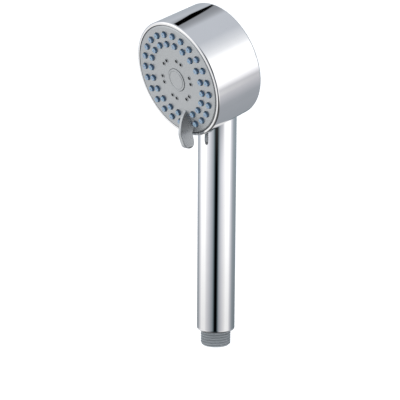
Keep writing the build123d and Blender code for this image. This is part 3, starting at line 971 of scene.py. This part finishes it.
def between(tree, value, low, high, start=0.0, end=1.0):
    """Smooth step of value from start at low to end at high."""
    limits = {"Value": value, "From Min": low, "From Max": high, "To Min": start, "To Max": end}
    return add_node(
        tree, "ShaderNodeMapRange", limits, interpolation_type="SMOOTHSTEP"
    ).outputs["Result"]


def rises(tree, angle, span, top=1.0):
    """From 0 to top across a span of degrees."""
    return between(tree, angle, *map(math.radians, span), 0.0, top)


def falls(tree, angle, span):
    """From 1 to 0 across a span of degrees."""
    return between(tree, angle, *map(math.radians, span), 1.0, 0.0)


def walls_and_ceiling(tree, compass, lift):
    """Walls by the compass, darker towards the ground, under a plain ceiling."""
    walls = mixed(
        tree, ramp(tree, lift, LOW_SHARE, -90, 90),
        ramp(tree, compass, WALLS, -180, 180, tinted),
        ramp(tree, compass, LOW_WALLS, -180, 180, tinted),
    )
    shade = ramp(tree, lift, LOW_SHADE, -90, 90)
    walls = add_node(
        tree, "ShaderNodeMix", {"Factor": 1.0, MIX_FIRST: walls, MIX_SECOND: shade},
        data_type="RGBA", blend_type="MULTIPLY",
    ).outputs[MIX_RESULT]
    return mixed(tree, ramp(tree, lift, CEILING, -90, 90), walls, tinted(CEILING_GREY))


def hood_share(tree, compass, lift):
    """Where the dark hood stands: soft at its sides, its foot and its top."""
    sides = falls(tree, away_from(tree, compass, HOOD_COMPASS), HOOD_SIDES)
    low = product(tree, sides, rises(tree, lift, HOOD_FOOT))
    return product(tree, low, falls(tree, lift, HOOD_TOP))


def rear_panel_share(tree, compass, lift):
    """Where the soft grey rear panel stands."""
    around = away_from(tree, compass, REAR_PANEL_COMPASS)
    above = away_from(tree, lift, REAR_PANEL_ELEVATION)
    return product(
        tree, falls(tree, around, REAR_PANEL_EDGE), falls(tree, above, REAR_PANEL_EDGE)
    )


def rear_gap_shares(tree, compass, lift):
    """Shares of the haze and of the dark gap itself."""
    lean = compute(tree, "SUBTRACT", lift, math.radians(GAP_LEAN_FROM))
    aside = compute(tree, "SUBTRACT", compass, math.radians(GAP_COMPASS))
    aside = compute(tree, "MULTIPLY_ADD", lean, GAP_LEAN, aside)
    haze = product(tree, rises(tree, aside, HAZE_RISE, HAZE_DEPTH), rises(tree, lift, HAZE_HEIGHT))
    haze = product(tree, haze, falls(tree, aside, HAZE_END))
    reach = compute(tree, "SUBTRACT", lift, math.radians(GAP_FOOT))
    half_width = compute(
        tree, "MULTIPLY_ADD", compute(tree, "MAXIMUM", reach, 0.0), GAP_GROWTH,
        math.radians(GAP_HALF_WIDTH),
    )
    across = compute(tree, "DIVIDE", compute(tree, "ABSOLUTE", aside), half_width)
    gap = product(tree, between(tree, across, *GAP_EDGE, 1.0, 0.0), falls(tree, lift, GAP_TOP))
    return haze, product(tree, gap, rises(tree, reach, GAP_FOOT_FADE))


def studio():
    """Soft white panels round the part, dark gaps between them and a grey ceiling."""
    world = bpy.data.worlds.new("studio")
    bpy.context.scene.world = world
    world.use_nodes = True
    tree = world.node_tree
    tree.nodes.clear()
    way = add_node(tree, "ShaderNodeTexCoord").outputs["Generated"]
    parts = add_node(tree, "ShaderNodeSeparateXYZ", {0: way}).outputs
    towards_spray = compute(tree, "MULTIPLY", parts["Y"], -1.0)
    compass = compute(tree, "ARCTAN2", parts["X"], towards_spray)
    lift = compute(tree, "ARCSINE", parts["Z"])
    room = walls_and_ceiling(tree, compass, lift)
    room = mixed(tree, hood_share(tree, compass, lift), room, plain(HOOD_GREY))
    room = mixed(tree, rear_panel_share(tree, compass, lift), room, tinted(REAR_PANEL_GREY))
    for share in rear_gap_shares(tree, compass, lift):
        room = mixed(tree, share, room, plain(0.0))
    lit = add_node(tree, "ShaderNodeBackground", {"Color": room, "Strength": ROOM_STRENGTH})
    backdrop = add_node(
        tree, "ShaderNodeBackground", {"Color": plain(1.0), "Strength": BACKDROP_STRENGTH}
    )
    seen = add_node(tree, "ShaderNodeLightPath").outputs["Is Camera Ray"]
    surface = add_node(
        tree, "ShaderNodeMixShader", {"Fac": seen, 1: lit.outputs[0], 2: backdrop.outputs[0]}
    )
    add_node(tree, "ShaderNodeOutputWorld", {"Surface": surface.outputs[0]})


# degrees, metres, and millimetres for the lens and its sensor
CAMERA_AZIMUTH = 50.97
CAMERA_ELEVATION = 9.96
CAMERA_ROLL = 0.35
CAMERA_DISTANCE = 0.8594
AIM_HEIGHT = 0.1023
AIM_SIDE = -0.0115
LENS = 112.5
SENSOR = 36.0


def camera():
    """Three-quarter view from slightly above, on a long lens."""
    azimuth, elevation = math.radians(CAMERA_AZIMUTH), math.radians(CAMERA_ELEVATION)
    level = math.cos(elevation)
    back = Vector(
        (math.sin(azimuth) * level, -math.cos(azimuth) * level, math.sin(elevation))
    )
    right = (-back).cross(Vector((0, 0, 1))).normalized()
    roll = Matrix.Rotation(math.radians(CAMERA_ROLL), 3, back)
    right = roll @ right
    upward = back.cross(right)
    data = bpy.data.cameras.new("camera")
    data.lens = LENS
    data.sensor_width = SENSOR
    eye = bpy.data.objects.new("camera", data)
    bpy.context.scene.collection.objects.link(eye)
    target = Vector((0, 0, AIM_HEIGHT)) + right * AIM_SIDE
    facing = Matrix((right, upward, back)).transposed().to_4x4()
    eye.matrix_world = Matrix.Translation(target + back * CAMERA_DISTANCE) @ facing
    bpy.context.scene.camera = eye


finish_cad_nodes()
valve_spring_travel()
drum_shell()
handle()
inlet()
strainer()
face_plate()
nozzles()
cap()
lever()
floor()
studio()
camera()
bpy.context.scene.view_settings.view_transform = "Standard"
